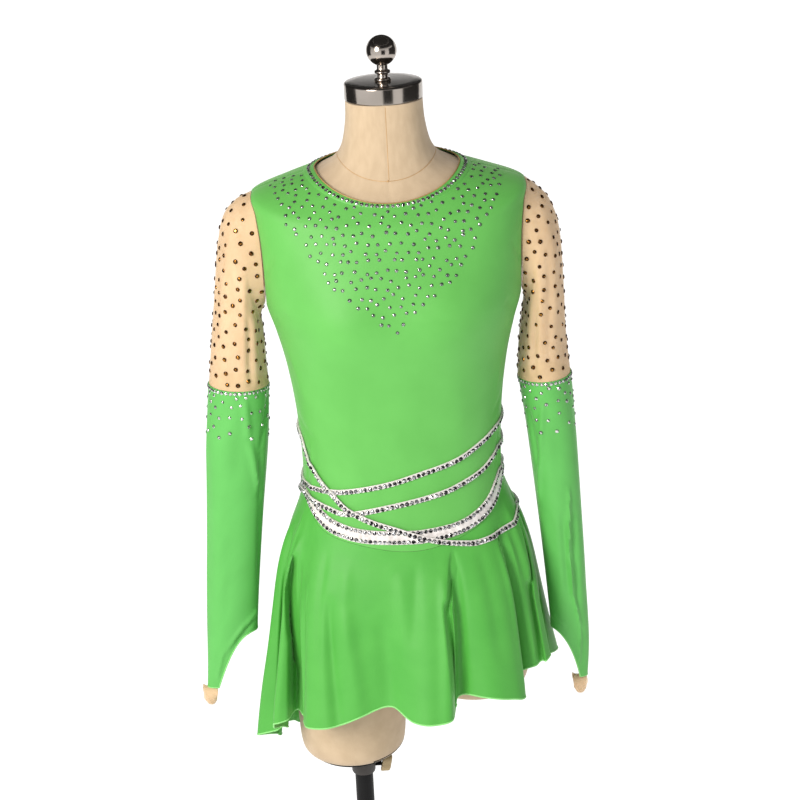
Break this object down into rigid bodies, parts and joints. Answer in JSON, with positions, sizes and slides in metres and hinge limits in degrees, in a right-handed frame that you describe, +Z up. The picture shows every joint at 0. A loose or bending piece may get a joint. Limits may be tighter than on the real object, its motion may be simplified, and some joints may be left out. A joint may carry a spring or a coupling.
{
  "type": "figure skating dress on a dress form",
  "caption": "Long-sleeved figure skating dress with a fluted asymmetric skirt and stone-set waist strips, worn by a limbless dress form on a pole stand.",
  "frame": {"origin": "on the floor, on the flat underside of the base, under the middle line of the figure", "axes": "+Z up, -Y the way the dress faces, +X to the wearer's left"},
  "size_m": [0.4706, 0.33, 1.4714],
  "materials": {
    "green_jersey": "smooth stretch jersey with a soft sheen",
    "nude_mesh": "fine stretch mesh",
    "white_satin": "off-white satin under rows of clear stones",
    "form_linen": "tight cream linen cover",
    "chrome_plate": "mirror chrome plate",
    "black_paint": "satin black paint",
    "grey_collar": "grey moulded plastic",
    "beige_knob": "beige moulded plastic"
  },
  "bodies": {
    "stand": {"base": "black_paint"},
    "pole": {"pole": "black_paint"},
    "form": {"form_torso": "form_linen", "neck_cap": "chrome_plate", "finial": "chrome_plate", "leg_plate": "black_paint", "form_collar": "grey_collar", "bodice_front": "green_jersey", "bodice_back": "green_jersey", "neck_binding": "green_jersey", "upper_sleeve_right": "nude_mesh", "lower_sleeve_right": "green_jersey", "finger_loop_right": "nude_mesh", "upper_sleeve_left": "nude_mesh", "lower_sleeve_left": "green_jersey", "finger_loop_left": "nude_mesh", "skirt_front": "green_jersey", "skirt_back": "green_jersey", "band_upper": "white_satin", "band_middle": "white_satin", "band_cross": "white_satin", "band_wide_right": "white_satin", "band_wide_left": "white_satin"},
    "clamp": {"clamp_screw": "black_paint", "clamp_knob": "beige_knob"}
  },
  "joints": [
    {"name": "pole_turn", "type": "hinge", "parent": "stand", "child": "pole", "pos_m": [-0.066, 0, 0], "axis": [0, 0, 1], "continuous": true},
    {"name": "height_slide", "type": "slide", "parent": "pole", "child": "form", "axis": [0, 0, 1], "range_m": [-0.2, 0.2]},
    {"name": "clamp_turn", "type": "hinge", "parent": "form", "child": "clamp", "pos_m": [-0.05, 0, 0.57], "axis": [1, 0, 0], "continuous": true}
  ]
}
